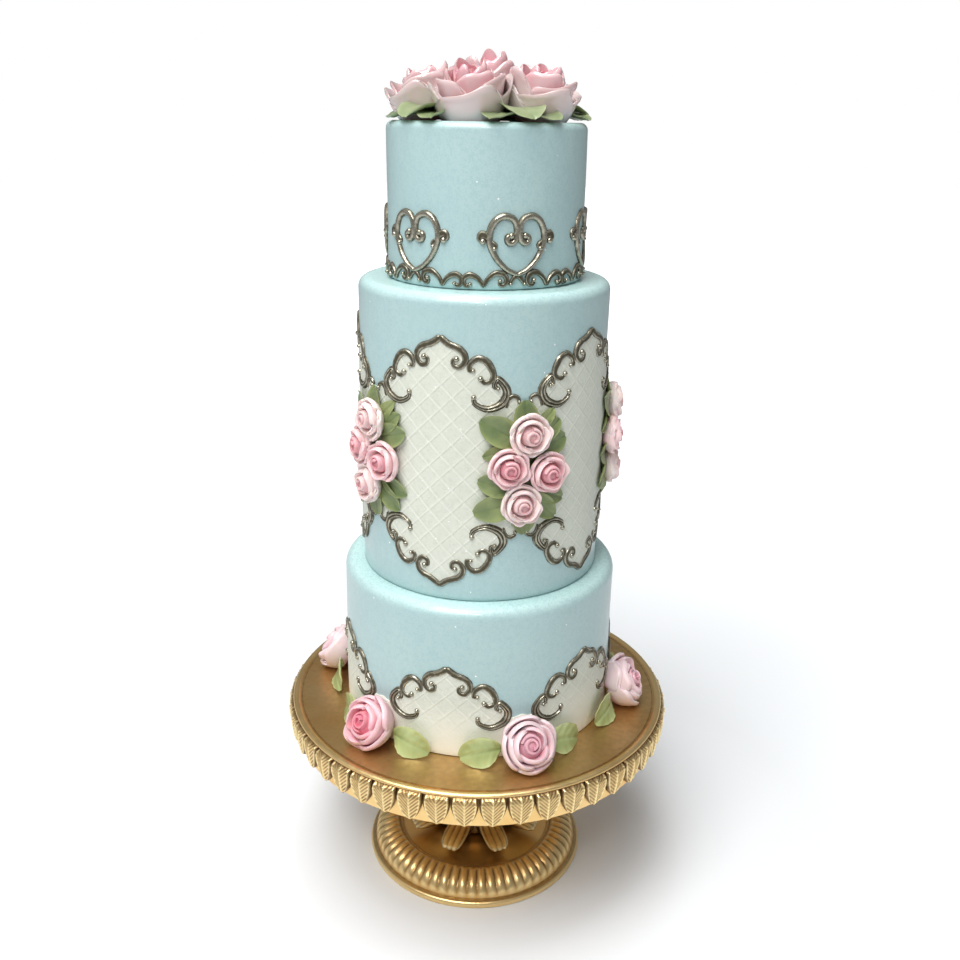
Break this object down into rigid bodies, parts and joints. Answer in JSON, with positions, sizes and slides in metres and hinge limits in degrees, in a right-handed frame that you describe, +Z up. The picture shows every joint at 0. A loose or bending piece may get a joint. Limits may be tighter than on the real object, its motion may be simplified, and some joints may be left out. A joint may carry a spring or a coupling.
{
  "type": "tiered cake",
  "caption": "Tall round three-tier display cake in blue icing with silver scrollwork, quilted white panels and pink roses, on a gold pedestal stand.",
  "frame": {"origin": "middle of the flat underside of the stand's foot", "axes": "+Z up the cake's axis; -Y is the front, where a rose cluster, a heart and a bottom rose are in line"},
  "size_m": [0.1966, 0.1966, 0.4064],
  "materials": {
    "stand_gold": "satin antique gold, darker in the grooves",
    "icing_blue": "satin, finely sanded duck-egg blue with sparse glitter",
    "field_white": "matt off-white, quilted with fine engraved lines",
    "scroll_silver": "champagne silver leaf, glossy on the ridges and dark in the folds",
    "rose_pink": "satin, pink in the middle and pale at the petal rims",
    "rose_gloss": "glazed, pink in the middle and nearly white outside",
    "leaf_green": "semi-gloss sage green with a sunk vein"
  },
  "bodies": {
    "root": {"stand_foot": "stand_gold", "stand_stem": "stand_gold", "stand_plate": "stand_gold", "tier_bottom": "icing_blue", "tier_middle": "icing_blue", "tier_top": "icing_blue", "leaves_middle_1": "leaf_green", "leaves_middle_2": "leaf_green", "leaves_middle_3": "leaf_green", "leaves_middle_4": "leaf_green", "leaves_middle_5": "leaf_green", "leaf_bottom_1_left": "leaf_green", "leaf_bottom_1_right": "leaf_green", "leaf_bottom_2_left": "leaf_green", "leaf_bottom_2_right": "leaf_green", "leaf_bottom_3_left": "leaf_green", "leaf_bottom_3_right": "leaf_green", "leaf_bottom_4_left": "leaf_green", "leaf_bottom_4_right": "leaf_green", "leaf_bottom_5_left": "leaf_green", "leaf_bottom_5_right": "leaf_green", "leaf_bottom_6_left": "leaf_green", "leaf_bottom_6_right": "leaf_green", "leaves_top": "leaf_green", "rose_middle_1_1": "rose_pink", "rose_middle_1_2": "rose_pink", "rose_middle_1_3": "rose_pink", "rose_middle_1_4": "rose_pink", "rose_middle_2_1": "rose_pink", "rose_middle_2_2": "rose_pink", "rose_middle_2_3": "rose_pink", "rose_middle_2_4": "rose_pink", "rose_middle_3_1": "rose_pink", "rose_middle_3_2": "rose_pink", "rose_middle_3_3": "rose_pink", "rose_middle_3_4": "rose_pink", "rose_middle_4_1": "rose_pink", "rose_middle_4_2": "rose_pink", "rose_middle_4_3": "rose_pink", "rose_middle_4_4": "rose_pink", "rose_middle_5_1": "rose_pink", "rose_middle_5_2": "rose_pink", "rose_middle_5_3": "rose_pink", "rose_middle_5_4": "rose_pink", "rose_bottom_1": "rose_pink", "rose_bottom_2": "rose_pink", "rose_bottom_3": "rose_pink", "rose_bottom_4": "rose_pink", "rose_bottom_5": "rose_pink", "rose_bottom_6": "rose_pink", "rose_top_1": "rose_gloss", "rose_top_2": "rose_gloss", "rose_top_3": "rose_gloss", "rose_top_4": "rose_gloss", "rose_top_5": "rose_gloss", "rose_top_centre": "rose_gloss"}
  },
  "joints": []
}
